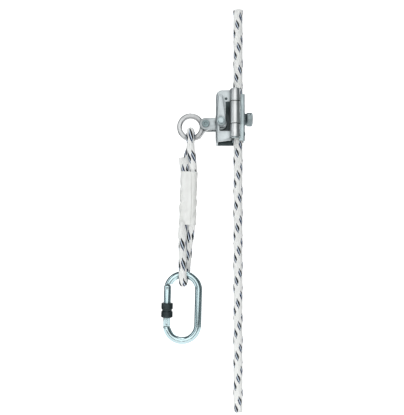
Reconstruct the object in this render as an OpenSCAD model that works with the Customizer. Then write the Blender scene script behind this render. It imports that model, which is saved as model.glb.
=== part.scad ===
// Hinged rope grab on a braided rope, with a short rope lanyard and an oval
// screw-gate connector. Millimetres, +Z up, origin at the top end of the rope.
// The rope hangs along -Z. The front of the grab, with its hinge, faces -Y.

/* [Rope] */
// Diameter of the main rope
rope_d = 14; // [10:0.5:16]
// Diameter of the lanyard rope
lanyard_d = 12; // [9:0.5:13]

/* [Housing] */
// Height of the folded housing plate
housing_h = 76; // [66:1:100]
// Thickness of the housing plate
plate_t = 3; // [2:0.25:4]
// Distance from the rope's axis to the housing's outer left face
housing_reach = 33.4; // [32:0.2:42]
// Radius of the housing's upper outer corner
housing_corner_r = 9; // [3:0.5:10]
// Distance from the rope's top end down to the housing's top edge
housing_drop = 124; // [100:1:200]

/* [Hinge] */
// Outer radius of the hinge barrel
barrel_r = 7.5; // [6:0.25:8]
// Length of the hinge barrel
barrel_len = 69.5; // [60:0.5:76]
// Length of the middle knuckle, which is the door's
door_knuckle_len = 32.4; // [20:0.5:40]
// Radius of the hinge pin
hinge_pin_r = 4; // [3:0.25:5]

/* [Door] */
// Height of the door channel
door_h = 69; // [60:0.5:72]
// Thickness of the door plate
door_t = 2.3; // [1.6:0.1:3]
// Height of the ear that carries the lock screw
ear_h = 24; // [18:0.5:30]

/* [Lock screw] */
// Radius of the knurled head
knob_r = 10.5; // [8:0.25:11.5]
// Length of the knurled head
knob_len = 11.4; // [8:0.2:16]
// Radius of the screw's shank
screw_r = 4; // [3:0.25:4.5]

/* [Cam] */
// Thickness of the cam along its pivot
cam_w = 12; // [8:0.5:12]
// Radius of the cam's gripping arc
cam_arc_r = 24; // [22:0.5:28]
// Radius of the pivot bolt
pivot_r = 3; // [2.5:0.25:4]
// Height of the lever's two side plates
lever_h = 17.6; // [15:0.2:18]
// Thickness of each lever side plate
cheek_t = 2.4; // [1.6:0.1:2.4]

/* [Eye] */
// Inner radius of the eye
eye_inner_r = 13.2; // [12:0.1:13.6]
// Width of the eye's rim, seen from the front
eye_rim_w = 7.3; // [6:0.1:7.6]
// Thickness of the eye along its axis
eye_t = 9; // [7:0.5:9]

/* [Lanyard sleeve] */
// Length of the plastic sleeve over the splice
sleeve_len = 79.5; // [60:0.5:85]
// Wall thickness of the plastic sleeve
sleeve_wall = 0.7; // [0.5:0.1:1.5]

/* [Connector] */
// Distance between the bar's centre lines at the widest
bow_w = 46.6; // [44:0.2:50]
// Straight length between the two bows
bow_gap = 52.4; // [48:0.2:70]
// Radius of the connector's bar
bar_r = 5.5; // [5:0.1:5.8]
// Outer radius of the locking sleeve
lock_sleeve_r = 8.8; // [7.5:0.1:9.5]
// Length of the locking sleeve
lock_sleeve_len = 21.3; // [16:0.1:23]
// Lean of the connector out of plumb, in degrees
connector_lean = 1.5; // [0:0.1:3]

/* [Hidden] */
$fn = 48;

steel = "lightsteelblue";
dark_steel = "slategray";
rope_white = "whitesmoke";

// Clearances
run_gap = 0.05;      // between a shaft and the hole it turns in
face_gap = 0.2;      // between flat faces that slide past each other
rope_gap = 0.3;      // between the rope and the metal around it
knuckle_gap = 0.7;   // between neighbouring hinge knuckles

rope_r = rope_d / 2;
lanyard_r = lanyard_d / 2;

// Rope routes, as points along the centre lines
main_route = [
    [0, 0, 0], [0, 0, -40], [0, 0, -80], [0, 0, -120], [0, 0, -160], [0, 0, -200],
    [0, 0, -240], [0, 0, -280], [0, 0, -320], [0, 0, -360], [0, 0, -400],
    [0, 0, -440], [0, 0, -480], [0, 0, -520], [0, 0, -560], [0, 0, -600]
];
upper_route = [
    [-79.3, 0, -242], [-79.2, 1, -236], [-78.5, 3.5, -229], [-77, 6, -222],
    [-75, 8.5, -214.5], [-73, 10.5, -207], [-71.5, 11, -199], [-71, 11, -191.5],
    [-71, 10, -186], [-71, 6, -181.8], [-71, 0, -181], [-71, -6, -181.8],
    [-71, -10, -186], [-71, -11, -191.5], [-71, -11, -199], [-70.5, -10.5, -207],
    [-69.5, -8.5, -214.5], [-68.5, -6, -222], [-67.8, -3.5, -229],
    [-67.2, -1, -236], [-67.1, 0, -242]
];
lower_route = [
    [-82, 0, -320], [-82.2, -1.5, -328], [-82.5, -4, -337], [-82.6, -7, -347],
    [-82.6, -9.5, -357], [-82.5, -11.5, -368], [-82.5, -12.3, -380], [-82.5, -12.3, -390],
    [-82.5, -12.1, -396], [-82.4, -10.8, -402], [-82.2, -6.4, -406.4], [-81.7, 0, -407.8],
    [-81, 6.4, -406.4], [-80, 10.8, -402], [-79, 12.1, -396], [-78, 12.3, -390],
    [-76.8, 12.3, -380], [-75.8, 11.5, -368], [-74.8, 9.5, -357], [-73.5, 7, -347],
    [-71.9, 4, -337], [-70.4, 1.5, -328], [-69.8, 0, -320]
];
left_strand = [[-79.3, 0, -242.1], [-80.2, 0, -268], [-81.1, 0, -294], [-82, 0, -319.9]];
right_strand = [[-67.1, 0, -242.1], [-68, 0, -268], [-68.9, 0, -294], [-69.8, 0, -319.9]];
upper_tail_route = [[-82, 6, -246], [-83, 7.5, -237], [-84.5, 7, -228], [-85.5, 5, -219]];
lower_tail_route = [[-83, -5, -317], [-84.5, -6.5, -325], [-85.5, -5.5, -333], [-86, -3, -341]];

// Places of the grab's parts, seen from above
plate_front = -17;                             // outer face of the front plate
housing_top = -housing_drop;
housing_bottom = housing_top - housing_h;
hinge_x = -5.7;
hinge_y = plate_front - 1;
barrel_top = housing_top + 0.8;
barrel_bottom = barrel_top - barrel_len;
knuckle_top = barrel_top - 18.1;               // upper end of the middle knuckle
knuckle_bottom = knuckle_top - door_knuckle_len;
pin_head_r = hinge_pin_r + 1.8;

// The door is a channel around the rope's right side
door_inner_x = rope_r + 0.2;
door_outer_x = door_inner_x + door_t;
door_web_y = -(rope_r + 0.8);                  // inner face of the front web
door_flange_y = rope_r + 1.6;                  // inner face of the back flange
back_inner = door_flange_y + door_t + rope_gap;  // inner face of the housing's back plate
plate_back = back_inner + plate_t;
door_top = housing_top - 3.5;
door_bottom = door_top - door_h;

// Lock screw, behind the rope and along X
screw_y = plate_back + screw_r + 0.8;
screw_z = housing_top - 34.3;
lug_right = door_inner_x - 2.2;
bush_out = 1;
washer_t = 1.6;
washer_x = door_outer_x + bush_out;
knob_x = washer_x + washer_t;

// Cam pivot
pivot_x = -26;
pivot_z = housing_top - 45.6;
lever_z = pivot_z - 1.4;
lever_end_x = -48.5;
cheek_y = cam_w / 2 + face_gap;                // inner faces of the two side plates
bush_r = pivot_r + 2;
cam_top = 14;                                  // upper and lower ends, from the pivot
cam_bottom = -22;

// Eye
eye_x = -70.8;
eye_z = -174.75;
eye_outer_r = eye_inner_r + eye_rim_w;
rivet_r = 3;

// Lanyard sleeve
sleeve_top = [-73.2, 0, -241.5];
sleeve_lean = 1.98;
strand_offset = 6.1;

// Connector, in its own frame with the origin at its centre
bow_r = bow_w / 2;
half_gap = bow_gap / 2;
connector_at = [-82.4, 0, -418.5];             // centre of the upper bow
gate_x = -bow_r;
hinge_z = half_gap + 2.4;
body_end_z = hinge_z + 5.9;
gate_top_z = hinge_z + 3.8;
nose_z = -(half_gap + 2.7);
gate_bottom_z = nose_z + 1;
slot_w = 4.4;
tongue_w = 3.9;
gate_pin_r = 1.5;
latch_r = 1.2;
latch_z = nose_z + 3.7;
sleeve_start_z = -15.05;                       // lower end of the unlocked sleeve

// Sweep of a round section along a route, with the rings turned to face one axis
function unit(v) = v / norm(v);
function tangent(p, i) = unit(p[min(i + 1, len(p) - 1)] - p[max(i - 1, 0)]);
function ring_at(p, i, r, sides, axis) =
    let (t = tangent(p, i), n = unit(cross(t, axis)), b = cross(t, n))
    [for (k = [0:sides - 1]) p[i] + r * (cos(360 * k / sides) * n + sin(360 * k / sides) * b)];

module tube(p, r, sides = 10, axis = [1, 0, 0]) {
    points = [for (i = [0:len(p) - 1]) each ring_at(p, i, r, sides, axis)];
    last = (len(p) - 1) * sides;
    walls = [
        for (i = [0:len(p) - 2], k = [0:sides - 1])
            let (a = i * sides + k, b = i * sides + (k + 1) % sides)
            each [[a, b, b + sides], [a, b + sides, a + sides]]
    ];
    first_cap = [for (k = [sides - 1:-1:0]) k];
    last_cap = [for (k = [0:sides - 1]) last + k];
    polyhedron(points = points, faces = concat(walls, [first_cap, last_cap]), convexity = 6);
}

// A helix as a route, around the Z axis
function helix(r, pitch, turns, steps = 20) =
    [for (i = [0:turns * steps]) [r * cos(360 * i / steps), r * sin(360 * i / steps), pitch * i / steps]];

module coil(p, r) {
    tube(p, r, 6, [0, 0, 1]);
}

// A rectangle from one corner to the other with round corners
module round_rect(x0, y0, x1, y1, r) {
    translate([x0 + r, y0]) square([x1 - x0 - 2 * r, y1 - y0]);
    translate([x0, y0 + r]) square([x1 - x0, y1 - y0 - 2 * r]);
    for (x = [x0 + r, x1 - r], y = [y0 + r, y1 - r]) translate([x, y]) circle(r);
}

// A long round outline whose end arcs lie at -x and +x
module stadium(x, r) {
    translate([-x, -r]) square([2 * x, 2 * r]);
    for (s = [-1, 1]) translate([s * x, 0]) circle(r);
}

module box(low, high) {
    translate(low) cube(high - low);
}

// A round bar along X, Y or Z, from one coordinate to another
module x_bar(x0, x1, y, z, r) {
    translate([x0, y, z]) rotate([0, 90, 0]) cylinder(h = x1 - x0, r = r);
}
module y_bar(y0, y1, x, z, r) {
    translate([x, y1, z]) rotate([90, 0, 0]) cylinder(h = y1 - y0, r = r);
}
module z_bar(z0, z1, x, y, r) {
    translate([x, y, z0]) cylinder(h = z1 - z0, r = r);
}

// A shape drawn in X and Z, standing between two Y values
module upright(y0, y1) {
    translate([0, y1, 0]) rotate([90, 0, 0]) linear_extrude(y1 - y0) children();
}

// Puts the children into the connector's own frame
module at_connector() {
    translate(connector_at) rotate([0, connector_lean, 0]) translate([0, 0, -half_gap]) children();
}

// ---- Main rope ----
module main_rope() {
    color(rope_white) tube(main_route, rope_r, 12);
}

// ---- Housing ----
module housing_section() {
    right_end = lug_right;
    difference() {
        round_rect(-housing_reach, plate_front, right_end + 10, plate_back, 3.5);
        translate([-housing_reach + plate_t, plate_front + plate_t])
            square([housing_reach + right_end + 20, plate_back - plate_front - 2 * plate_t]);
        // the front plate stops at the hinge, the back plate at the lug
        translate([hinge_x - 4, plate_front - 1]) square([40, 20]);
        translate([right_end, 0]) square([40, 40]);
    }
}

module window() {
    right = hinge_x - 1;
    left = pivot_x + 6.5;
    foot_left = pivot_x - 2.6;
    upright(plate_front - 1, plate_front + plate_t + 1) {
        round_rect(left, knuckle_bottom - 10, right, knuckle_top + knuckle_gap, 2);
        round_rect(foot_left, knuckle_bottom - 10, right, pivot_z - 7.6, 2.4);
    }
}

module housing() {
    color(steel) difference() {
        union() {
            translate([0, 0, housing_bottom]) linear_extrude(housing_h) housing_section();
            z_bar(barrel_bottom, knuckle_bottom - knuckle_gap, hinge_x, hinge_y, barrel_r);
            z_bar(knuckle_top + knuckle_gap, barrel_top, hinge_x, hinge_y, barrel_r);
        }
        z_bar(barrel_bottom - 1, barrel_top + 1, hinge_x, hinge_y, hinge_pin_r + run_gap);
        z_bar(housing_bottom - 1, barrel_bottom, hinge_x, hinge_y, pin_head_r + face_gap);
        window();
        // round the two upper left corners
        difference() {
            box([-housing_reach - 1, plate_front - 1, housing_top - housing_corner_r],
                [-housing_reach + housing_corner_r, plate_back + 1, housing_top + 1]);
            y_bar(plate_front - 2, plate_back + 2, -housing_reach + housing_corner_r,
                  housing_top - housing_corner_r, housing_corner_r);
        }
        // the lower edge rises towards the hinge
        translate([-housing_reach, plate_front - 1, housing_bottom - 10])
            rotate([0, -8, 0]) cube([60, plate_t + 2, 10]);
        // room for the cam and its lever in the left wall, over their whole swing
        box([-housing_reach - 1, plate_front + plate_t, pivot_z + cam_bottom - 1.5],
            [-housing_reach + plate_t + 0.5, back_inner, lever_z + lever_h / 2 + 7.5]);
        y_bar(plate_front - 1, plate_back + 1, pivot_x, pivot_z, pivot_r + run_gap);
        // anchor hole for the spring
        y_bar(plate_front - 1, plate_front + plate_t + 1, pivot_x + 7.3, pivot_z + 33, 2);
        // no metal on the right of the hinge
        box([hinge_x + barrel_r - 0.2, plate_front - 12, housing_bottom - 1],
            [hinge_x + 40, 0, housing_top + 2]);
    }
}

module hinge_pin() {
    head = 1;
    color(dark_steel) {
        z_bar(barrel_bottom, barrel_top, hinge_x, hinge_y, hinge_pin_r);
        z_bar(barrel_top, barrel_top + head, hinge_x, hinge_y, pin_head_r);
        z_bar(barrel_bottom - head, barrel_bottom, hinge_x, hinge_y, pin_head_r);
    }
}

// Stack along the pivot, from the bolt's head to its nut
lever_plate_t = 2.8;
lever_y = plate_front - face_gap - lever_plate_t;
head_washer_t = 1;
spring_washer_t = 0.8;
washer_y = lever_y - face_gap - spring_washer_t;
head_y = washer_y - head_washer_t;
head_t = 3.4;
nut_washer_t = 1;
nut_t = 4;

module cam_bolt() {
    color(steel) {
        y_bar(head_y, plate_back + nut_washer_t + nut_t + 1.5, pivot_x, pivot_z, pivot_r);
        translate([pivot_x, head_y, pivot_z]) rotate([90, 0, 0]) cylinder(h = head_t, r = 4.9, $fn = 6);
    }
}

module bolt_nut() {
    color(steel) difference() {
        translate([pivot_x, plate_back + nut_washer_t + nut_t, pivot_z]) rotate([90, 0, 0])
            cylinder(h = nut_t, r = 5.8, $fn = 6);
        y_bar(plate_back, plate_back + 10, pivot_x, pivot_z, pivot_r + run_gap);
    }
}

module pivot_tube(y0, y1, r) {
    difference() {
        y_bar(y0, y1, pivot_x, pivot_z, r);
        y_bar(y0 - 1, y1 + 1, pivot_x, pivot_z, pivot_r + run_gap);
    }
}

module nut_washer() {
    color(steel) pivot_tube(plate_back, plate_back + nut_washer_t, 7);
}

module front_spacer() {
    color(dark_steel) pivot_tube(plate_front + plate_t, -cheek_y - cheek_t - face_gap, bush_r);
}

module back_spacer() {
    color(dark_steel) pivot_tube(cheek_y + cheek_t + face_gap, back_inner, bush_r);
}

module head_washer() {
    color(steel) pivot_tube(head_y, head_y + head_washer_t, 6);
}

module spring_washer() {
    color(dark_steel) pivot_tube(washer_y, washer_y + spring_washer_t, 5.4);
}

module cam_spring() {
    wire_r = 0.8;
    coil_r = bush_r + wire_r + 0.5;
    y0 = plate_front + plate_t + wire_r + 0.1;
    turns = 2;
    route = concat(helix(coil_r, 1.7, turns), [[coil_r, 8, 3.4], [coil_r, 20, 3.4]]);
    color(dark_steel) translate([pivot_x, y0, pivot_z]) rotate([-90, 0, 0])
        mirror([0, 1, 0]) coil(route, wire_r);
}

module lock_lug() {
    lug_back = screw_y + 7;
    color(steel) difference() {
        box([lug_right - 9, plate_back, screw_z - ear_h / 2], [lug_right, lug_back, screw_z + ear_h / 2]);
        x_bar(lug_right - 12, lug_right + 1, screw_y, screw_z, screw_r);
        for (s = [-1, 1])
            translate([lug_right - 10, lug_back, screw_z + s * ear_h / 2]) rotate([45, 0, 0])
                translate([0, -3, -3]) cube([12, 6, 6]);
    }
}

// ---- Side lever ----
module side_lever() {
    top_z = pivot_z + 37.5;
    foot_r = 6.8;
    color(steel) difference() {
        union() {
            y_bar(lever_y, lever_y + lever_plate_t, pivot_x, pivot_z, foot_r);
            upright(lever_y, lever_y + lever_plate_t) {
                polygon([[pivot_x - 3.9, top_z - 2], [pivot_x + 2.1, top_z - 2],
                         [pivot_x + 6.7, pivot_z + 1], [pivot_x - 5.6, pivot_z + 3.5]]);
                round_rect(pivot_x - 3.9, top_z - 6, pivot_x + 2.1, top_z, 2);
            }
        }
        y_bar(lever_y - 1, plate_front, pivot_x, pivot_z, pivot_r + run_gap);
    }
}

// ---- Door ----
module door_section() {
    difference() {
        round_rect(-30, door_web_y - door_t, door_outer_x, door_flange_y + door_t, 2.5);
        translate([-40, door_web_y]) square([40 + door_inner_x, door_flange_y - door_web_y]);
        translate([-40, door_web_y - door_t - 1]) square([40.8, door_t + 2]);
        translate([-40, 0]) square([32, 40]);
    }
}

module door() {
    gap = knuckle_gap / 2;
    color(steel) difference() {
        union() {
            translate([0, 0, door_bottom]) linear_extrude(door_h) door_section();
            z_bar(knuckle_bottom + gap, knuckle_top - gap, hinge_x, hinge_y, barrel_r);
            // strap from the middle knuckle to the web
            box([hinge_x + 4.8, hinge_y, knuckle_bottom + gap],
                [hinge_x + 8.7, door_web_y, knuckle_top - gap]);
            // ear for the lock screw
            box([door_inner_x, door_flange_y, screw_z - ear_h / 2],
                [door_outer_x, screw_y + 5, screw_z + ear_h / 2]);
            x_bar(door_inner_x, door_outer_x, screw_y, screw_z, 9);
        }
        z_bar(knuckle_bottom - 1, knuckle_top + 1, hinge_x, hinge_y, hinge_pin_r + run_gap);
        x_bar(door_inner_x - 1, door_outer_x + 1, screw_y, screw_z, screw_r + 2 + run_gap);
        x_bar(door_inner_x - 1, door_outer_x + 1, 0, door_bottom + 12, 1.8 + run_gap);
        // round the lower and upper back corners of the side
        for (z = [door_bottom, door_top])
            translate([door_outer_x - 20, door_flange_y + door_t, z]) rotate([45, 0, 0])
                translate([-20, -2, -2]) cube([60, 4, 4]);
    }
}

module door_rivet() {
    color(dark_steel) {
        x_bar(door_inner_x, door_outer_x, 0, door_bottom + 12, 1.8);
        x_bar(door_outer_x, door_outer_x + 1.4, 0, door_bottom + 12, 2.8);
    }
}

module screw_bush() {
    color(dark_steel) difference() {
        union() {
            x_bar(door_inner_x, door_outer_x, screw_y, screw_z, screw_r + 2);
            x_bar(door_outer_x, washer_x - face_gap, screw_y, screw_z, screw_r + 4);
        }
        x_bar(0, washer_x + 1, screw_y, screw_z, screw_r + run_gap);
    }
}

// ---- Lock screw ----
module screw_washer() {
    color(dark_steel) difference() {
        x_bar(washer_x, knob_x - face_gap, screw_y, screw_z, knob_r - 0.3);
        x_bar(washer_x - 1, knob_x + 1, screw_y, screw_z, screw_r + run_gap);
    }
}

module lock_knob() {
    edge = 1.2;
    neck = 2.6;
    right = knob_x + knob_len;
    color(dark_steel) difference() {
        union() {
            x_bar(knob_x, knob_x + neck, screw_y, screw_z, knob_r - 1.6);
            x_bar(knob_x + neck, right - edge, screw_y, screw_z, knob_r);
            translate([right - edge, screw_y, screw_z]) rotate([0, 90, 0])
                cylinder(h = edge, r1 = knob_r, r2 = knob_r - edge);
        }
        x_bar(knob_x - 1, right - 3, screw_y, screw_z, screw_r + run_gap);
        // dished end face
        x_bar(right - 0.8, right + 1, screw_y, screw_z, knob_r - 4);
    }
}

module lock_screw() {
    point = 3.3;
    tip = lug_right - 3;
    color(steel) {
        x_bar(tip, tip + point, screw_y, screw_z, screw_r - 1);
        x_bar(tip + point, knob_x + knob_len - 3.1, screw_y, screw_z, screw_r);
    }
}

// ---- Cam lever and eye ----
module cam() {
    arc_x = -rope_r - rope_gap - cam_arc_r;
    arc_z = pivot_z - 6;
    color(dark_steel) difference() {
        union() {
            intersection() {
                y_bar(-cam_w / 2, cam_w / 2, arc_x, arc_z, cam_arc_r);
                box([pivot_x - 4, -cam_w, pivot_z + cam_bottom], [0, cam_w, pivot_z + cam_top]);
            }
            y_bar(-cam_w / 2, cam_w / 2, pivot_x, pivot_z, 8.6);
        }
        y_bar(-cam_w, cam_w, pivot_x, pivot_z, bush_r + run_gap);
        // gripping grooves across the arc
        for (a = [-36:6:48])
            y_bar(-cam_w, cam_w, arc_x + (cam_arc_r + 0.3) * cos(a), arc_z + (cam_arc_r + 0.3) * sin(a), 0.9);
    }
}

module cheek(y0) {
    half = lever_h / 2;
    color(steel) difference() {
        union() {
            y_bar(y0, y0 + cheek_t, lever_end_x, lever_z, half);
            y_bar(y0, y0 + cheek_t, pivot_x, lever_z, half);
            box([lever_end_x, y0, lever_z - half], [pivot_x, y0 + cheek_t, lever_z + half]);
        }
        y_bar(y0 - 1, y0 + cheek_t + 1, pivot_x, pivot_z, pivot_r + run_gap);
        y_bar(y0 - 1, y0 + cheek_t + 1, lever_end_x, lever_z, rivet_r + run_gap);
    }
}

module front_cheek() {
    cheek(-cheek_y - cheek_t);
}

module back_cheek() {
    cheek(cheek_y);
}

module cam_bush() {
    color("peru") pivot_tube(-cam_w / 2, cam_w / 2, bush_r);
}

module eye_ring() {
    rim = 2.5;
    tab_half = cheek_y - face_gap;
    color(steel) difference() {
        union() {
            translate([eye_x, 0, eye_z]) rotate([90, 0, 0]) rotate_extrude()
                round_rect(eye_inner_r, -eye_t / 2, eye_outer_r, eye_t / 2, rim);
            // gusset from the rim to the lever
            upright(-eye_t / 2 + 1, eye_t / 2 - 1)
                polygon([[eye_x + 9, eye_z - eye_outer_r + 1.9], [eye_x + 14.2, eye_z - 16.6],
                         [lever_end_x, lever_z - 9.4], [lever_end_x + 4, lever_z - 8],
                         [lever_end_x + 4, lever_z + 8], [eye_x + 15, lever_z + 8]]);
            upright(-tab_half, tab_half)
                round_rect(lever_end_x - 6, lever_z - 7.5, lever_end_x + 10, lever_z + 7.5, 2);
        }
        y_bar(-eye_t, eye_t, eye_x, eye_z, eye_inner_r + 0.01);
        y_bar(-eye_t, eye_t, lever_end_x, lever_z, rivet_r + run_gap);
    }
}

module eye_rivet() {
    out = cheek_y + cheek_t;
    head = 1.3;
    color(dark_steel) difference() {
        union() {
            y_bar(-out, out, lever_end_x, lever_z, rivet_r);
            for (y0 = [-out - head, out]) y_bar(y0, y0 + head, lever_end_x, lever_z, 5.2);
        }
        for (s = [-1, 1]) y_bar(s * (out + head) - 0.7, s * (out + head) + 0.7, lever_end_x, lever_z, 2.6);
    }
}

// ---- Lanyard ----
module upper_loop() {
    color(rope_white) tube(upper_route, lanyard_r);
}

module lower_loop() {
    color(rope_white) tube(lower_route, lanyard_r);
}

module splice_left() {
    color(rope_white) tube(left_strand, lanyard_r);
}

module splice_right() {
    color(rope_white) tube(right_strand, lanyard_r);
}

module upper_tail() {
    color(rope_white) tube(upper_tail_route, 4.2);
}

module lower_tail() {
    color(rope_white) tube(lower_tail_route, 4.6);
}

module lanyard_sleeve() {
    inner = lanyard_r + 0.3;
    outer = inner + sleeve_wall;
    color("gainsboro", 0.6) translate(sleeve_top) rotate([0, sleeve_lean, 0])
        translate([0, 0, -sleeve_len]) linear_extrude(sleeve_len) difference() {
            stadium(strand_offset, outer);
            stadium(strand_offset, inner);
        }
}

// ---- Connector ----
module bow(angle) {
    rotate([90, 0, 0]) rotate_extrude(angle = angle) translate([bow_r, 0]) circle(bar_r);
}

module connector_body() {
    reach = bar_r + 1;
    hook_x = gate_x - 3.9;
    color(steel) at_connector() difference() {
        union() {
            difference() {
                union() {
                    translate([0, 0, half_gap]) bow(180);
                    translate([0, 0, -half_gap]) rotate([0, 180, 0]) bow(180);
                    z_bar(-half_gap, half_gap, bow_r, 0, bar_r);
                }
                box([gate_x - reach, -reach, nose_z], [gate_x + reach + 1, reach, body_end_z]);
                // seat for the locking sleeve around the nose
                difference() {
                    box([gate_x - reach, -reach, nose_z - 2.2], [gate_x + reach + 1, reach, nose_z + 1]);
                    z_bar(nose_z - 3, nose_z + 2, gate_x, 0, bar_r - 0.25);
                }
            }
            // tongue that the gate is pinned to
            y_bar(-tongue_w / 2, tongue_w / 2, gate_x, hinge_z, 3.8);
            box([gate_x - 3.8, -tongue_w / 2, hinge_z], [gate_x + 3.8, tongue_w / 2, body_end_z + 1]);
            // hook that the gate's latch pin sits in
            box([hook_x, -tongue_w / 2, nose_z - 0.6], [hook_x + 2, tongue_w / 2, nose_z + 8.4]);
            box([hook_x, -tongue_w / 2, nose_z - 0.6], [hook_x + 7.4, tongue_w / 2, nose_z + 1.7]);
            box([hook_x, -tongue_w / 2, nose_z + 5.7], [hook_x + 6.4, tongue_w / 2, nose_z + 8.4]);
        }
        y_bar(-bar_r, bar_r, gate_x, hinge_z, gate_pin_r + run_gap);
    }
}

module gate_pin() {
    color(dark_steel) at_connector() y_bar(-bar_r + 0.3, bar_r - 0.3, gate_x, hinge_z, gate_pin_r);
}

module gate() {
    cut = bar_r + 1;
    color(steel) at_connector() difference() {
        z_bar(gate_bottom_z, gate_top_z, gate_x, 0, bar_r);
        // slots for the tongue and the hook
        box([gate_x - cut, -slot_w / 2, hinge_z - 4.3], [gate_x + cut, slot_w / 2, gate_top_z + 1]);
        box([gate_x - cut, -slot_w / 2, gate_bottom_z - 1], [gate_x + cut, slot_w / 2, nose_z + 10]);
        // the inner top corner is round, so that the gate can swing
        difference() {
            box([gate_x, -cut, hinge_z], [gate_x + cut, cut, gate_top_z + 1]);
            y_bar(-cut - 1, cut + 1, gate_x, hinge_z, 5.6);
        }
        y_bar(-cut, cut, gate_x, hinge_z, gate_pin_r + 0.08);
        y_bar(-cut, cut, gate_x + 0.3, latch_z, latch_r + run_gap);
        // bore for the spring and its plunger
        z_bar(4, hinge_z - 4, gate_x, 0, 1.9);
    }
}

module gate_spring() {
    color(dark_steel) at_connector() translate([gate_x, 0, 4.6]) coil(helix(1.2, 2, 6, 16), 0.4);
}

module gate_plunger() {
    color("peru") at_connector() z_bar(hinge_z - 10.4, hinge_z - 4.1, gate_x, 0, 1.8);
}

module latch_pin() {
    color(dark_steel) at_connector() y_bar(-bar_r + 0.4, bar_r - 0.4, gate_x + 0.3, latch_z, latch_r);
}

sleeve_mid_z = sleeve_start_z + lock_sleeve_len / 2;

module sleeve_ring() {
    color("black") at_connector() translate([gate_x, 0, sleeve_mid_z]) rotate_extrude()
        translate([bar_r + 0.08, -0.6]) square([0.7, 1.2]);
}

module locking_sleeve() {
    edge = 0.9;
    groove = 1.6;
    top = sleeve_start_z + lock_sleeve_len;
    color("darkslategray") at_connector() difference() {
        union() {
            z_bar(sleeve_start_z + edge, top - edge, gate_x, 0, lock_sleeve_r);
            translate([gate_x, 0, sleeve_start_z]) cylinder(h = edge, r1 = lock_sleeve_r - edge, r2 = lock_sleeve_r);
            translate([gate_x, 0, top - edge]) cylinder(h = edge, r1 = lock_sleeve_r, r2 = lock_sleeve_r - edge);
        }
        z_bar(sleeve_start_z - 1, top + 1, gate_x, 0, bar_r + run_gap);
        z_bar(sleeve_mid_z - 0.8, sleeve_mid_z + 0.8, gate_x, 0, bar_r + 0.9);
        // waist between the two knurled bands
        difference() {
            z_bar(sleeve_mid_z - groove, sleeve_mid_z + groove, gate_x, 0, lock_sleeve_r + 1);
            z_bar(sleeve_mid_z - groove - 1, sleeve_mid_z + groove + 1, gate_x, 0, lock_sleeve_r - 1.4);
        }
    }
}

main_rope();
housing();
hinge_pin();
cam_bolt();
bolt_nut();
nut_washer();
front_spacer();
back_spacer();
cam_spring();
lock_lug();
side_lever();
head_washer();
spring_washer();
door();
door_rivet();
screw_bush();
screw_washer();
lock_knob();
lock_screw();
cam();
front_cheek();
back_cheek();
cam_bush();
eye_ring();
eye_rivet();
upper_loop();
lower_loop();
splice_left();
splice_right();
upper_tail();
lower_tail();
lanyard_sleeve();
connector_body();
gate_pin();
gate();
gate_spring();
gate_plunger();
latch_pin();
sleeve_ring();
locking_sleeve();
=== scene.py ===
import math

import bmesh
import bpy
import numpy as np
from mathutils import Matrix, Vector


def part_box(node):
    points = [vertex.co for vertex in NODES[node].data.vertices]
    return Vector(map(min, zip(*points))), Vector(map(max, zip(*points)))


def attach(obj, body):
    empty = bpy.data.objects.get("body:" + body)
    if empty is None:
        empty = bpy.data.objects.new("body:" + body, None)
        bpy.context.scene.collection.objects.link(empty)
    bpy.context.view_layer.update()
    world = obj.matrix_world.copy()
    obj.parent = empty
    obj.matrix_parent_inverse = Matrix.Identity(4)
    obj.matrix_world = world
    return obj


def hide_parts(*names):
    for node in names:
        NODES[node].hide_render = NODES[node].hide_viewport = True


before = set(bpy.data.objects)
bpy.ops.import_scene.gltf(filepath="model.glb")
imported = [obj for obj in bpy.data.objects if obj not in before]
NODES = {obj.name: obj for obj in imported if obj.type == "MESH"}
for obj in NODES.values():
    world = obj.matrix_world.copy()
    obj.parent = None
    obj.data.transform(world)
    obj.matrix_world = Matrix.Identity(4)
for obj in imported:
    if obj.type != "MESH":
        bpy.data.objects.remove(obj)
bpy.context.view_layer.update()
MM = 0.001

# ------------------------------------------------------------------ camera
VIEW_HEIGHT = 0.6225          # how much the picture shows, top to bottom, at the rope
CAMERA_DISTANCE = 0.70
CAMERA_X = -0.054
CAMERA_Z = -0.336             # the camera is level, a little below the middle of the rope
VIEW_CENTRE_Z = -0.29475
SENSOR = 36.0

scene = bpy.context.scene
camera_data = bpy.data.cameras.new("camera")
camera_data.sensor_fit = "VERTICAL"
camera_data.sensor_height = SENSOR
camera_data.lens = SENSOR * CAMERA_DISTANCE / VIEW_HEIGHT
camera_data.shift_y = (VIEW_CENTRE_Z - CAMERA_Z) / VIEW_HEIGHT
camera_data.clip_start = 0.01
camera = bpy.data.objects.new("camera", camera_data)
camera.location = (CAMERA_X, -CAMERA_DISTANCE, CAMERA_Z)
camera.rotation_euler = (math.radians(90), 0, 0)
scene.collection.objects.link(camera)
scene.camera = camera
scene.view_settings.view_transform = "Standard"

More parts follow.
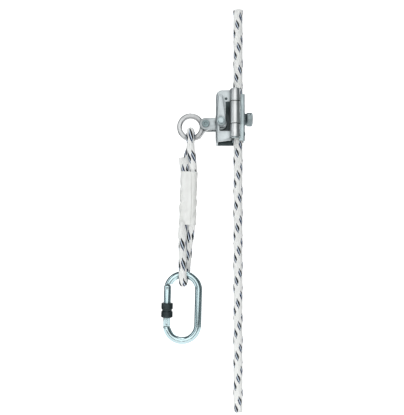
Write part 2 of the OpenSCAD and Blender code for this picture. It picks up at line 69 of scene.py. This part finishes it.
# ------------------------------------------------------------------ cord routes, in millimetres
MAIN_ROUTE = [(0, 0, -40 * i) for i in range(16)]
UPPER_ROUTE = [
    (-79.3, 0, -242), (-79.2, 1, -236), (-78.5, 3.5, -229), (-77, 6, -222),
    (-75, 8.5, -214.5), (-73, 10.5, -207), (-71.5, 11, -199), (-71, 11, -191.5),
    (-71, 10, -186), (-71, 6, -181.8), (-71, 0, -181), (-71, -6, -181.8),
    (-71, -10, -186), (-71, -11, -191.5), (-71, -11, -199), (-70.5, -10.5, -207),
    (-69.5, -8.5, -214.5), (-68.5, -6, -222), (-67.8, -3.5, -229),
    (-67.2, -1, -236), (-67.1, 0, -242),
]
LOWER_ROUTE = [
    (-82, 0, -320), (-82.2, -1.5, -328), (-82.5, -4, -337), (-82.6, -7, -347),
    (-82.6, -9.5, -357), (-82.5, -11.5, -368), (-82.5, -12.3, -380), (-82.5, -12.3, -390),
    (-82.5, -12.1, -396), (-82.4, -10.8, -402), (-82.2, -6.4, -406.4), (-81.7, 0, -407.8),
    (-81, 6.4, -406.4), (-80, 10.8, -402), (-79, 12.1, -396), (-78, 12.3, -390),
    (-76.8, 12.3, -380), (-75.8, 11.5, -368), (-74.8, 9.5, -357), (-73.5, 7, -347),
    (-71.9, 4, -337), (-70.4, 1.5, -328), (-69.8, 0, -320),
]
LEFT_STRAND = [(-79.3, 0, -242.1), (-80.2, 0, -268), (-81.1, 0, -294), (-82, 0, -319.9)]
RIGHT_STRAND = [(-67.1, 0, -242.1), (-68, 0, -268), (-68.9, 0, -294), (-69.8, 0, -319.9)]
UPPER_TAIL = [(-82, 6, -246), (-83, 7.5, -237), (-84.5, 7, -228), (-85.5, 5, -219)]
LOWER_TAIL = [(-83, -5, -317), (-84.5, -6.5, -325), (-85.5, -5.5, -333), (-86, -3, -341)]


# ------------------------------------------------------------------ materials
class Nodes:
    """A material's node tree, with short calls for making and joining nodes."""

    def __init__(self, name):
        self.material = bpy.data.materials.new(name)
        self.material.use_nodes = True
        self.tree = self.material.node_tree
        self.tree.nodes.clear()
        self.output = self.add("ShaderNodeOutputMaterial")
        self.shader = self.add("ShaderNodeBsdfPrincipled")
        self.link(self.shader, "BSDF", self.output, "Surface")

    def add(self, kind, **values):
        node = self.tree.nodes.new(kind)
        for key, value in values.items():
            if hasattr(node, key):
                setattr(node, key, value)
            else:
                node.inputs[key.replace("_", " ")].default_value = value
        return node

    def link(self, a, out, b, into):
        self.tree.links.new(a.outputs[out], b.inputs[into])

    def set(self, **values):
        for key, value in values.items():
            self.shader.inputs[key.replace("_", " ")].default_value = value

    def coordinates(self, kind="Object", scale=(1, 1, 1)):
        source = self.add("ShaderNodeTexCoord")
        mapping = self.add("ShaderNodeMapping")
        mapping.inputs["Scale"].default_value = scale
        self.link(source, kind, mapping, "Vector")
        return mapping

    def noise(self, place, scale, detail=4.0):
        node = self.add("ShaderNodeTexNoise")
        node.inputs["Scale"].default_value = scale
        node.inputs["Detail"].default_value = detail
        node.inputs["Roughness"].default_value = 0.55
        self.link(place, "Vector", node, "Vector")
        return node

    def ramp(self, source, out, stops):
        node = self.add("ShaderNodeValToRGB")
        elements = node.color_ramp.elements
        while len(elements) < len(stops):
            elements.new(0.5)
        for element, (position, colour) in zip(elements, stops):
            element.position = position
            element.color = (*colour, 1.0)
        self.link(source, out, node, "Fac")
        return node

    def bump(self, source, out, strength, distance, under=None):
        node = self.add("ShaderNodeBump")
        node.inputs["Strength"].default_value = strength
        node.inputs["Distance"].default_value = distance
        self.link(source, out, node, "Height")
        if under:
            self.link(under, "Normal", node, "Normal")
        self.link(node, "Normal", self.shader, "Normal")
        return node


def grey(value, tint=(1, 1, 1)):
    return tuple(value * t for t in tint)


NEUTRAL = (1.0, 1.01, 1.02)
COOL = (1.0, 1.08, 1.11)
COOLER = (1.0, 1.16, 1.20)
ZINC = (1.0, 1.26, 1.31)      # bright blue-passivated zinc, also the tint of the painted corner shade


CORNER_SHADE_REACH = 0.006           # how far from a corner the painted shade spreads, in metres


def steel(name, light, dark, rough, tint, brushed=(1, 1, 1), grain=900.0, depth=0.00002,
          corner_shade=0.12):
    """Plated steel: cloudy plating, fine brushing along one axis, and painted shade darkening the corners.
    """
    n = Nodes(name)
    clouds = n.noise(n.coordinates(), 38.0, 5.0)
    fine = n.noise(n.coordinates(scale=brushed), grain, 3.0)
    colour = n.ramp(clouds, "Fac", [(0.32, grey(dark, tint)), (0.68, grey(light, tint))])
    # painted shade: ambient occlusion darkens the base colour, with a dark teal tint, in corners, creases
    # and between parts
    corners = n.add("ShaderNodeAmbientOcclusion", samples=8)
    corners.inputs["Distance"].default_value = CORNER_SHADE_REACH
    shade = n.ramp(corners, "AO", [(0.35, grey(corner_shade, ZINC)), (0.97, grey(1.0))])
    mixed = n.add("ShaderNodeMix", data_type="RGBA", blend_type="MULTIPLY")
    mixed.inputs["Factor"].default_value = 1.0
    n.tree.links.new(colour.outputs["Color"], mixed.inputs[6])
    n.tree.links.new(shade.outputs["Color"], mixed.inputs[7])
    n.tree.links.new(mixed.outputs[2], n.shader.inputs["Base Color"])
    shine = n.ramp(fine, "Fac", [(0.3, grey(rough[0])), (0.7, grey(rough[1]))])
    n.link(shine, "Color", n.shader, "Roughness")
    first = n.bump(clouds, "Fac", 0.25, 0.0002)
    n.bump(fine, "Fac", 0.35, depth, first)
    n.set(Metallic=1.0)
    return n.material


def yarn(name, light, dark, sheen=0.2):
    """Twisted filament yarn: fine slanting ply lines whose grooves are darkened as painted shade, and slight
    soiling.

    Its UV runs across the yarn, and along it in mm."""
    n = Nodes(name)
    place = n.coordinates("UV")
    ply = n.add("ShaderNodeTexWave", wave_type="BANDS", bands_direction="DIAGONAL")
    ply.inputs["Scale"].default_value = 0.55
    ply.inputs["Distortion"].default_value = 1.5
    ply.inputs["Detail"].default_value = 2.0
    n.link(place, "Vector", ply, "Vector")
    dirt = n.noise(n.coordinates(), 160.0, 4.0)
    mixed = n.add("ShaderNodeMix", data_type="FLOAT")
    mixed.inputs["Factor"].default_value = 0.45
    n.link(ply, "Fac", mixed, "A")
    n.link(dirt, "Fac", mixed, "B")
    # painted shade: the ply grooves, low in the bump, take the darker colour; the noise adds real soiling
    colour = n.ramp(mixed, "Result", [(0.15, dark), (0.75, light)])
    n.link(colour, "Color", n.shader, "Base Color")
    n.set(Roughness=0.72, Sheen_Weight=sheen, Sheen_Roughness=0.5)
    n.bump(ply, "Fac", 0.5, 0.00008)
    return n.material


def wire_steel(name, value, rough):
    n = Nodes(name)
    fine = n.noise(n.coordinates(), 700.0, 3.0)
    colour = n.ramp(fine, "Fac", [(0.3, grey(value * 0.75)), (0.7, grey(value))])
    n.link(colour, "Color", n.shader, "Base Color")
    n.bump(fine, "Fac", 0.2, 0.00003)
    n.set(Metallic=1.0, Roughness=rough)
    return n.material


def sleeve_film(name):
    """Milky heat-shrunk plastic over the splice."""
    n = Nodes(name)
    place = n.coordinates(scale=(1, 1, 0.35))
    clouds = n.noise(place, 120.0, 4.0)
    colour = n.ramp(clouds, "Fac", [(0.3, (0.88, 0.88, 0.85)), (0.7, (0.99, 0.99, 0.97))])
    n.link(colour, "Color", n.shader, "Base Color")
    n.bump(clouds, "Fac", 0.4, 0.0003)
    n.set(Roughness=0.32, Alpha=0.86, Coat_Weight=0.3, Coat_Roughness=0.2)
    return n.material


def rubber(name):
    n = Nodes(name)
    fine = n.noise(n.coordinates(), 900.0, 2.0)
    colour = n.ramp(fine, "Fac", [(0.3, grey(0.012)), (0.7, grey(0.03))])
    n.link(colour, "Color", n.shader, "Base Color")
    n.bump(fine, "Fac", 0.2, 0.00003)
    n.set(Roughness=0.6)
    return n.material


def bronze(name):
    n = Nodes(name)
    n.set(Base_Color=(0.45, 0.26, 0.10, 1), Metallic=1.0, Roughness=0.4)
    n.bump(n.noise(n.coordinates(), 800.0), "Fac", 0.2, 0.00003)
    return n.material


WHITE = yarn("yarn_white", (0.96, 0.96, 0.95), (0.78, 0.78, 0.76))
BLACK = yarn("yarn_black", (0.010, 0.011, 0.018), (0.002, 0.002, 0.004), 0.02)
NAVY = yarn("yarn_navy", (0.008, 0.016, 0.075), (0.002, 0.004, 0.022), 0.02)
BLUE = yarn("yarn_blue", (0.84, 0.92, 1.0), (0.66, 0.80, 0.96))
YARNS = [WHITE, BLACK, NAVY, BLUE]
CORE = yarn("rope_core", (0.9, 0.9, 0.88), (0.7, 0.7, 0.68))

ALONG_Z = (1, 1, 0.12)
PLATE = steel("plate_steel", 0.50, 0.38, (0.28, 0.42), COOL, ALONG_Z)
# painted shade: near-black steel on the housing's inner faces stands for the shade inside the housing
INNER_FACE_SHADE = steel("plate_inside_shade", 0.14, 0.07, (0.4, 0.6), ZINC)
ARM = steel("arm_steel", 0.43, 0.29, (0.3, 0.45), COOL)
DOOR = steel("door_steel", 0.46, 0.36, (0.26, 0.40), COOLER, ALONG_Z)
FORGED = steel("forged_steel", 0.55, 0.38, (0.28, 0.46), NEUTRAL, grain=500.0, depth=0.00004)
BARREL = steel("barrel_steel", 0.72, 0.60, (0.32, 0.44), NEUTRAL, (1, 1, 8))
FASTENER = steel("fastener_steel", 0.50, 0.32, (0.22, 0.4), COOLER)
# painted shade: the eye rivet is made darker, with stronger corner shade, for the shade in its dished recess
SHADED_RIVET = steel("rivet_steel", 0.30, 0.16, (0.25, 0.4), ZINC, corner_shade=0.05)
# painted shade: the cam inside the housing window is made this dark to stand for the shade there; the spring
# washer shares it
DARK_STEEL_AND_SHADE = steel("dark_steel", 0.10, 0.05, (0.35, 0.55), COOLER)
KNOB = steel("knob_steel", 0.44, 0.28, (0.3, 0.5), COOLER)
OVAL = steel("connector_steel", 0.54, 0.44, (0.12, 0.20), ZINC, grain=260.0, depth=0.000006)
GRIP = steel("grip_steel", 0.075, 0.03, (0.34, 0.5), ZINC)
SPRING = wire_steel("spring_wire", 0.35, 0.35)
BRONZE = bronze("bronze")
FILM = sleeve_film("sleeve_film")
RUBBER = rubber("rubber")

NODE_MATERIALS = {
    "housing": PLATE, "door": DOOR, "front_cheek": ARM, "back_cheek": ARM, "side_lever": PLATE,
    "lock_lug": PLATE, "eye_ring": FORGED, "cam": DARK_STEEL_AND_SHADE, "hinge_pin": FASTENER, "cam_bolt": FASTENER,
    "bolt_nut": FASTENER, "nut_washer": FASTENER, "head_washer": FASTENER, "spring_washer": DARK_STEEL_AND_SHADE,
    "front_spacer": FASTENER, "back_spacer": FASTENER, "door_rivet": FASTENER, "screw_bush": FASTENER,
    "eye_rivet": SHADED_RIVET, "gate_pin": FASTENER, "latch_pin": FASTENER, "lock_screw": FASTENER,
    "screw_washer": KNOB, "lock_knob": KNOB, "cam_spring": SPRING, "gate_spring": SPRING,
    "cam_bush": BRONZE, "gate_plunger": BRONZE, "connector_body": OVAL, "gate": OVAL,
    "locking_sleeve": GRIP, "sleeve_ring": RUBBER,
}
for node_name, material in NODE_MATERIALS.items():
    mesh = NODES[node_name].data
    mesh.materials.clear()
    mesh.materials.append(material)


# ------------------------------------------------------------------ mesh helpers
def new_piece(name, points, faces, materials, face_materials=None, uv=None):
    """A smooth-shaded mesh in the scene. face_materials is a material number for each face."""
    mesh = bpy.data.meshes.new(name)
    mesh.from_pydata(points, [], faces)
    for material in materials:
        mesh.materials.append(material)
    if face_materials is not None:
        mesh.polygons.foreach_set("material_index", np.asarray(face_materials, np.int32))
    mesh.polygons.foreach_set("use_smooth", np.full(len(mesh.polygons), True))
    if uv is not None:
        layer = mesh.uv_layers.new(name="UVMap")
        index = np.zeros(len(mesh.loops), np.int32)
        mesh.loops.foreach_get("vertex_index", index)
        layer.data.foreach_set("uv", np.asarray(uv, np.float32)[index].ravel())
    mesh.update()
    piece = bpy.data.objects.new(name, mesh)
    scene.collection.objects.link(piece)
    return piece


def smooth_route(points, step):
    """A route through the points (Catmull-Rom), evenly spaced, in the points' own units."""
    p = np.array(points, float)
    p = np.vstack([2 * p[0] - p[1], p, 2 * p[-1] - p[-2]])
    fine = []
    for i in range(1, len(p) - 2):
        t = np.linspace(0, 1, 40, endpoint=False)[:, None]
        a, b, c, d = p[i - 1], p[i], p[i + 1], p[i + 2]
        fine.append(0.5 * (2 * b + (c - a) * t + (2 * a - 5 * b + 4 * c - d) * t**2
                           + (3 * b - a - 3 * c + d) * t**3))
    fine = np.vstack(fine + [p[-2][None]])
    along = np.concatenate([[0], np.cumsum(np.linalg.norm(np.diff(fine, axis=0), axis=1))])
    count = max(2, int(round(along[-1] / step)) + 1)
    at = np.linspace(0, along[-1], count)
    return np.stack([np.interp(at, along, fine[:, k]) for k in range(3)], 1), at


def route_frames(path):
    """A tangent and two normals at each point, carried along without twist."""
    tangents = np.gradient(path, axis=0)
    tangents /= np.linalg.norm(tangents, axis=1)[:, None]
    normal = np.array((0.0, -1.0, 0.0))
    normals = []
    for t in tangents:
        normal = normal - t * normal.dot(t)
        normal /= np.linalg.norm(normal)
        normals.append(normal)
    normals = np.array(normals)
    return tangents, normals, np.cross(tangents, normals)


def grid_faces(rows, columns, first=0):
    """Quads over a closed tube of points, rows along and columns around."""
    i = np.arange(rows - 1)[:, None]
    k = np.arange(columns)[None, :]
    a = first + i * columns + k
    b = first + i * columns + (k + 1) % columns
    return np.stack([a, b, b + columns, a + columns], -1).reshape(-1, 4)


# ------------------------------------------------------------------ braided rope
PLY = np.array([-1.0, -0.55, -0.02, 0.12, 0.30, 0.62, 1.0])
PLY_HEIGHT = np.array([0.0, 1.0, 0.35, 1.0, 0.35, 1.0, 0.0])
TRACER = [1, 1, 3, 3, 2, 2]   # yarn materials across a tracer strand
PITCH = 9.6                   # length of one turn of a strand, in rope diameters
TWIST = math.radians(0.6)     # twist of the whole braid per millimetre, on the 14 mm rope
END_SIDES = 20
MIDDLE = PLY.size // 2


def strand_rings(path, normals, sides, centre, height, half, base, lift, size):
    """Points of one strand: a ribbed upper face and a flat underside, ring by ring."""
    rib = size * (0.34 * (1 - PLY**4) + 0.26 * PLY_HEIGHT)
    top = base + lift * height + rib[None]
    low = base + lift * height[:, [-1, 0]] - 0.45 * size
    across = centre[:, None] + half[:, None] * PLY[None]
    radius = np.hstack([top, low])
    angle = np.hstack([across, across[:, [-1, 0]]])
    return path[:, None] + radius[..., None] * (
        np.cos(angle)[..., None] * normals[:, None] + np.sin(angle)[..., None] * sides[:, None])


def braid(name, route, diameter, body, nodes, turn=0.0, lead=0.0, carriers=12, tracer_every=3,
          wide=0.22, step=1.2):
    """A round two-over, two-under braid along a route in millimetres, with carriers strands each way.

    Returns the piece, its centre line and its length in metres."""
    path, along = smooth_route(route, step)
    tangents, normals, sides = route_frames(path)
    pitch = diameter * PITCH
    size = diameter / 14.0
    spread = 2 * math.pi / carriers
    base = diameter / 2 - 1.15 * size
    lift = 0.42 * size
    crossing = 2 * carriers * (along - lead) / pitch
    helix = 2 * math.pi * (along - lead) / pitch
    points, polygons, kinds, uv = [], [], [], []
    first = 0
    for direction in (-1, 1):
        for strand in range(carriers):
            tracer = direction < 0 and tracer_every and strand % tracer_every == 0
            phase = 2 * strand + direction * crossing + (2 if direction > 0 else 0)
            skew = phase[:, None] + 0.5 * PLY[None]   # the crossing strand cuts it on the slant
            height = np.tanh(2.0 * np.cos(math.pi * (skew - 0.5) / 2)) / math.tanh(2.0)
            centre = turn + strand * spread + direction * helix - TWIST / size * (along - lead)
            over = np.clip(height, 0, 1)
            half = spread * (0.50 + 0.06 * height[:, MIDDLE] + (wide * over[:, MIDDLE] if tracer else 0))
            rings = strand_rings(path, normals, sides, centre, height + (over if tracer else 0),
                                 half, base, lift, size)
            rows, columns = rings.shape[:2]
            points.append(rings.reshape(-1, 3))
            polygons.append(grid_faces(rows, columns, first))
            kinds.append(np.tile((TRACER if tracer else [0] * 6) + [0, 0, 0], rows - 1))
            uv.append(np.stack([np.tile(np.append(PLY, [1, -1]) * 2, rows), np.repeat(along, columns)], 1))
            first += rows * columns
    # the core under the braid
    angle = np.linspace(0, 2 * math.pi, END_SIDES, endpoint=False)
    circle = np.cos(angle)[None, :, None] * normals[:, None] + np.sin(angle)[None, :, None] * sides[:, None]
    core = base - lift - 0.35 * size
    points.append((path[:, None] + core * circle).reshape(-1, 3))
    polygons.append(grid_faces(len(path), END_SIDES, first))
    kinds.append(np.full(len(polygons[-1]), 4))
    uv.append(np.stack([np.tile(angle * 2, len(path)), np.repeat(along, END_SIDES)], 1))
    first += len(path) * END_SIDES
    # the cut, heat-sealed ends
    rim = diameter / 2 - 0.15 * size
    for end, outward in ((0, -1), (-1, 1)):
        rings = [path[end] + share * rim * circle[end] + outward * out * size * tangents[end]
                 for share, out in ((1.0, -0.3), (0.93, 0.05), (0.5, 0.2), (0.02, 0.2))]
        points += rings
        polygons.append(grid_faces(len(rings), END_SIDES, first))
        kinds.append(np.full(len(polygons[-1]), 4))
        uv.append(np.stack([np.tile(angle * 2, len(rings)), np.repeat(np.arange(4), END_SIDES)], 1))
        first += len(rings) * END_SIDES
    piece = new_piece(name, (np.vstack(points) * MM).tolist(), np.vstack(polygons).tolist(), YARNS + [CORE],
                      np.concatenate(kinds), np.vstack(uv))
    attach(piece, body)
    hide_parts(*nodes)
    return piece, path * MM, along[-1] * MM


main_rope, main_path, main_length = braid(
    "braided_rope", MAIN_ROUTE, 14, "rope", ["main_rope"], turn=math.radians(78.6), lead=3.7, wide=0.32)

upper_loop, upper_path, upper_length = braid(
    "lanyard_upper_loop", UPPER_ROUTE, 12, "lanyard", ["upper_loop"], turn=math.radians(40), lead=5,
    carriers=8, tracer_every=2)
lower_loop, lower_path, lower_length = braid(
    "lanyard_lower_loop", LOWER_ROUTE, 12, "lanyard", ["lower_loop"], turn=math.radians(10), lead=7,
    carriers=8, tracer_every=2)
braid("lanyard_left_strand", LEFT_STRAND, 11.0, "lanyard", ["splice_left"], turn=0.3, tracer_every=0)
braid("lanyard_right_strand", RIGHT_STRAND, 11.0, "lanyard", ["splice_right"], turn=1.1, tracer_every=0)
braid("lanyard_upper_tail", UPPER_TAIL, 8.4, "lanyard", ["upper_tail"], turn=0.5, tracer_every=0)
braid("lanyard_lower_tail", LOWER_TAIL, 9.2, "lanyard", ["lower_tail"], turn=0.2, tracer_every=0)


# ------------------------------------------------------------------ steel pieces with worked edges
BEVEL_FROM = math.radians(38)   # edges sharper than this are broken
CREASE_FROM = math.radians(50)  # edges sharper than this stay crisp in the shading


def worked(node, edge):
    """A copy of a CAD piece whose sharp edges are broken, as pressing, filing and plating leave them."""
    source = NODES[node]
    mesh = source.data.copy()
    mesh.name = "worked_" + node
    mesh.transform(source.matrix_world)
    shape = bmesh.new()
    shape.from_mesh(mesh)
    bmesh.ops.remove_doubles(shape, verts=shape.verts, dist=1e-6)
    bmesh.ops.dissolve_limit(shape, angle_limit=math.radians(1.0), verts=shape.verts, edges=shape.edges)
    sharp = [e for e in shape.edges if len(e.link_faces) == 2 and e.calc_face_angle() > BEVEL_FROM]
    bmesh.ops.bevel(shape, geom=sharp, offset=edge * MM, offset_type="OFFSET", segments=2,
                    profile=0.5, affect="EDGES", clamp_overlap=True)
    for face in shape.faces:
        face.smooth = True
    for e in shape.edges:
        if len(e.link_faces) == 2 and e.calc_face_angle() > CREASE_FROM:
            e.smooth = False
    shape.to_mesh(mesh)
    shape.free()
    piece = bpy.data.objects.new("worked_" + node, mesh)
    scene.collection.objects.link(piece)
    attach(piece, BODY_OF[node])
    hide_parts(node)
    return piece


# where the knuckles and the housing's inner faces lie, in metres
HINGE_AXIS = (-0.0057, -0.018)
HINGE_REACH = 0.0077
FRONT_INSIDE = -0.014
BACK_INSIDE = 0.0112
WALL_INSIDE = -0.0304


def is_barrel(face):
    """A face of a hinge knuckle, which is turned and polished."""
    return math.hypot(face.center.x - HINGE_AXIS[0], face.center.y - HINGE_AXIS[1]) < HINGE_REACH


def is_inside(face):
    """An inner face of the folded housing, which gets a near-black steel as painted shade."""
    near = 0.0003
    x, y, _ = face.center
    faces_in = (abs(y - FRONT_INSIDE) < near and face.normal.y > 0.9
                or abs(y - BACK_INSIDE) < near and face.normal.y < -0.9
                or abs(x - WALL_INSIDE) < near and face.normal.x > 0.9)
    return faces_in and not is_barrel(face)


def paint(piece, material, test):
    piece.data.materials.append(material)
    slot = len(piece.data.materials) - 1
    for face in piece.data.polygons:
        if test(face):
            face.material_index = slot


# the body each worked piece rides on
BODY_OF = {
    "housing": "housing", "lock_lug": "housing", "cam_bolt": "housing", "bolt_nut": "housing",
    "head_washer": "housing", "nut_washer": "housing", "door": "door", "side_lever": "side_lever",
    "front_cheek": "cam_lever", "back_cheek": "cam_lever", "eye_ring": "cam_lever", "eye_rivet": "cam_lever",
    "screw_washer": "screw_carrier", "connector_body": "connector", "gate": "gate",
}
# how much is taken off its edges, in millimetres
EDGE = {
    "housing": 0.5, "door": 0.45, "side_lever": 0.5, "front_cheek": 0.45, "back_cheek": 0.45,
    "eye_ring": 0.4, "lock_lug": 0.5, "cam_bolt": 0.35, "bolt_nut": 0.35, "connector_body": 0.3,
    "gate": 0.3, "head_washer": 0.2, "eye_rivet": 0.25, "screw_washer": 0.25, "nut_washer": 0.2,
}
for node_name, edge in EDGE.items():
    piece = worked(node_name, edge)
    if node_name == "housing":
        paint(piece, INNER_FACE_SHADE, is_inside)
    if node_name in ("housing", "door"):
        paint(piece, BARREL, is_barrel)


# ------------------------------------------------------------------ plastic sleeve over the splice
SLEEVE_TOP = (-73.2, 0, -241.5)
SLEEVE_LENGTH = 79.5
SLEEVE_LEAN = math.radians(1.98)
STRAND_OFFSET = 6.1
SLEEVE_SKIN = 6.85
SEAM_ANGLE = math.radians(-84)
LUMPINESS = 1.4


def splice_sleeve():
    """A milky sleeve shrunk round the two strands, with lumps, folds, a seam and a lip at each end."""
    top = np.array(SLEEVE_TOP)
    rows, columns = 160, 200
    rng = np.random.default_rng(7)
    waves = [(rng.uniform(0.04, 0.2), rng.integers(1, 7), rng.uniform(0.05, 0.5), rng.uniform(0, 6.3))
             for _ in range(18)]
    folds = [(rng.uniform(0, 6.3), rng.uniform(-0.02, 0.02), rng.uniform(0.7, 1.3)) for _ in range(12)]
    share = np.linspace(0, 1, rows)[:, None]
    a = np.linspace(0, 2 * math.pi, columns, endpoint=False)[None]
    down = share * SLEEVE_LENGTH
    bulge = LUMPINESS * sum(
        size * np.sin(turns * a + rate * down + phase) for size, turns, rate, phase in waves)
    for place, drift, depth in folds:
        gap = np.angle(np.exp(1j * (a - place - drift * down)))
        bulge = bulge - depth * np.exp(-(gap / 0.07) ** 2) * np.sin(math.pi * share) ** 0.7
    seam = np.angle(np.exp(1j * (a - SEAM_ANGLE - 0.12 * np.sin(2.4 * share))))
    bulge = bulge + 0.55 * np.exp(-(seam / 0.035) ** 2) - 0.8 * np.exp(-((seam - 0.11) / 0.05) ** 2)
    lip = 0.45 * np.exp(-np.minimum(share, 1 - share) * 60)
    fade = np.sin(math.pi * np.clip(share, 0.02, 0.98)) ** 0.4
    x = STRAND_OFFSET * np.tanh(2.2 * np.cos(a)) + SLEEVE_SKIN * np.cos(a)
    y = SLEEVE_SKIN * np.sin(a) * (1 - 0.09 * np.exp(-(x / 3.0) ** 2))
    points = []
    for shell in (0.0, -0.5):
        grow = 1 + (shell + lip + bulge * fade) / SLEEVE_SKIN
        local_x, local_y = x * (1 + (grow - 1) * 0.5), y * grow
        points.append(np.stack([
            top[0] + local_x * math.cos(SLEEVE_LEAN) - down * math.sin(SLEEVE_LEAN),
            top[1] + local_y,
            top[2] - local_x * math.sin(SLEEVE_LEAN) - down * math.cos(SLEEVE_LEAN)], -1).reshape(-1, 3))
    outer = grid_faces(rows, columns).tolist()
    inner = [f[::-1] for f in grid_faces(rows, columns, rows * columns).tolist()]
    rims = []
    for row in (0, rows - 1):
        for k in range(columns):
            p, q = row * columns + k, row * columns + (k + 1) % columns
            u, v = q + rows * columns, p + rows * columns
            rims.append([q, p, v, u] if row == 0 else [p, q, u, v])
    return new_piece("splice_sleeve", (np.vstack(points) * MM).tolist(), outer + inner + rims, [FILM])


sleeve = splice_sleeve()
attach(sleeve, "lanyard")
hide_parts("lanyard_sleeve")


# ------------------------------------------------------------------ knurled parts
COLUMNS_PER_TOOTH = 4


def knurled(name, origin, axis, profile, teeth, depth, slant, material):
    """A turned part with a diamond knurl.

    profile rows are (along, radius, knurl), from one end to the other and back through the bore."""
    columns = teeth * COLUMNS_PER_TOOTH
    angle = np.linspace(0, 2 * math.pi, columns, endpoint=False)
    axis = Vector(axis).normalized()
    turn = Vector((0, 0, 1)).rotation_difference(axis).to_matrix()
    points = []
    for along, radius, knurl in profile:
        one = np.abs(((angle * teeth / (2 * math.pi) + slant * along) % 1.0) * 2 - 1)
        two = np.abs(((angle * teeth / (2 * math.pi) - slant * along) % 1.0) * 2 - 1)
        cut = knurl * depth * (1 - np.minimum(one, two))
        for a, q in zip(angle, radius - cut):
            points.append(turn @ Vector((q * math.cos(a), q * math.sin(a), along)) + Vector(origin))
    rows = len(profile)
    faces = grid_faces(rows, columns).tolist()
    last = (rows - 1) * columns
    faces += [[last + k, last + (k + 1) % columns, (k + 1) % columns, k] for k in range(columns)]
    return new_piece(name, [tuple(p * MM) for p in points], faces, [material])


def band(start, end, radius, edge, step=0.35):
    """Profile rows of one knurled band with chamfered edges."""
    rows = [(start, radius - edge, 0), (start + edge * 0.6, radius - 0.15, 0.4)]
    count = max(2, int((end - start - 2 * edge) / step))
    rows += [(start + edge + (end - start - 2 * edge) * i / count, radius, 1) for i in range(count + 1)]
    rows += [(end - edge * 0.6, radius - 0.15, 0.4), (end, radius - edge, 0)]
    return rows


def knurled_locking_sleeve():
    """The connector's screw sleeve: two knurled bands with a groove between them."""
    low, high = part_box("locking_sleeve")
    centre = (low + high) / 2 / MM
    lean = math.radians(1.5)
    half = 21.3 / 2
    bore, band_radius, groove_radius, groove_half = 5.56, 8.8, 7.4, 1.5
    gap = groove_half + 0.1
    profile = [(-half, bore, 0)] + band(-half, -gap, band_radius, 0.9)
    profile += [(-groove_half, groove_radius, 0), (groove_half, groove_radius, 0)]
    profile += band(gap, half, band_radius, 0.9) + [(half, bore, 0)]
    return knurled("knurled_locking_sleeve", centre, (math.sin(lean), 0, math.cos(lean)), profile,
                   40, 0.55, 0.45, GRIP)


def knurled_knob():
    """The lock screw's head: a plain neck, a knurled rim and a dished face."""
    low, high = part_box("lock_knob")
    centre = (low + high) / 2 / MM
    length = (high.x - low.x) / MM
    neck, radius, bore, dish = 2.6, 10.5, 4.06, 0.8
    shoulder = radius - 1.6
    profile = [(0, bore, 0), (0, shoulder - 0.3, 0), (0.3, shoulder, 0), (neck - 0.2, shoulder, 0)]
    profile += band(neck, length - 0.4, radius, 0.9)
    profile += [(length, radius - 1.7, 0), (length, radius - 3.9, 0)]
    profile += [(length - dish, radius - 4.1, 0), (length - dish, bore, 0)]
    return knurled("knurled_knob", (low.x / MM, centre.y, centre.z), (1, 0, 0), profile,
                   44, 0.6, 0.4, KNOB)


grip = knurled_locking_sleeve()
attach(grip, "locking_sleeve")
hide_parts("locking_sleeve")

knob = knurled_knob()
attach(knob, "lock_screw")
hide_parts("lock_knob")


# ------------------------------------------------------------------ studio
def stage_material(name, glow):
    n = Nodes(name)
    n.set(Base_Color=(*grey(0.5), 1.0), Roughness=0.9)
    n.set(Emission_Color=(1, 1, 1, 1), Emission_Strength=glow)
    return n.material


def backdrop():
    """A pale floor that curves up into a pale wall, only as wide as the picture needs."""
    floor_z, wall_y, bend, width = -0.85, 1.6, 0.6, 1.2
    profile = [(-0.9, floor_z), (wall_y - bend, floor_z)]
    profile += [(wall_y - bend + bend * math.sin(a), floor_z + bend - bend * math.cos(a))
                for a in np.linspace(0.1, math.pi / 2, 12)]
    profile.append((wall_y, 1.3))
    points = [(x, y, z) for y, z in profile for x in (-width, width)]
    faces = [(2 * i, 2 * i + 1, 2 * i + 3, 2 * i + 2) for i in range(len(profile) - 1)]
    return new_piece("backdrop", points, faces, [stage_material("backdrop", 1.0)])


backdrop()


def softbox(name, place, aim, size, power, colour=(1, 1, 1)):
    data = bpy.data.lights.new(name, "AREA")
    data.shape = "RECTANGLE"
    data.size, data.size_y = size
    data.energy = power
    data.color = colour
    light = bpy.data.objects.new(name, data)
    light.location = place
    light.rotation_euler = (Vector(aim) - Vector(place)).to_track_quat("-Z", "Y").to_euler()
    scene.collection.objects.link(light)


TARGET = (-0.04, 0, -0.25)
softbox("front_box", (-0.2, -1.6, 0.15), TARGET, (2.0, 1.9), 18, (1.0, 1.0, 0.99))
softbox("left_box", (-1.3, -0.5, 0.0), TARGET, (0.4, 1.6), 3.2, (0.95, 0.98, 1.0))
softbox("top_box", (0.0, -0.4, 1.1), TARGET, (0.9, 0.6), 5)
softbox("back_box", (0.9, 1.3, 0.5), TARGET, (0.8, 0.8), 4)


def studio_world():
    """A pale room, whose far corners stay dim in reflections as they do round a light tent."""
    world = bpy.data.worlds.new("world")
    world.use_nodes = True
    tree = world.node_tree
    dim = tree.nodes["Background"]
    dim.inputs["Color"].default_value = (0.74, 0.86, 0.90, 1)
    dim.inputs["Strength"].default_value = 0.16
    pale = tree.nodes.new("ShaderNodeBackground")
    pale.inputs["Color"].default_value = (1, 1, 1, 1)
    seen = tree.nodes.new("ShaderNodeLightPath")
    mix = tree.nodes.new("ShaderNodeMixShader")
    tree.links.new(seen.outputs["Is Camera Ray"], mix.inputs["Fac"])
    tree.links.new(dim.outputs["Background"], mix.inputs[1])
    tree.links.new(pale.outputs["Background"], mix.inputs[2])
    tree.links.new(mix.outputs["Shader"], tree.nodes["World Output"].inputs["Surface"])
    return world


scene.world = studio_world()
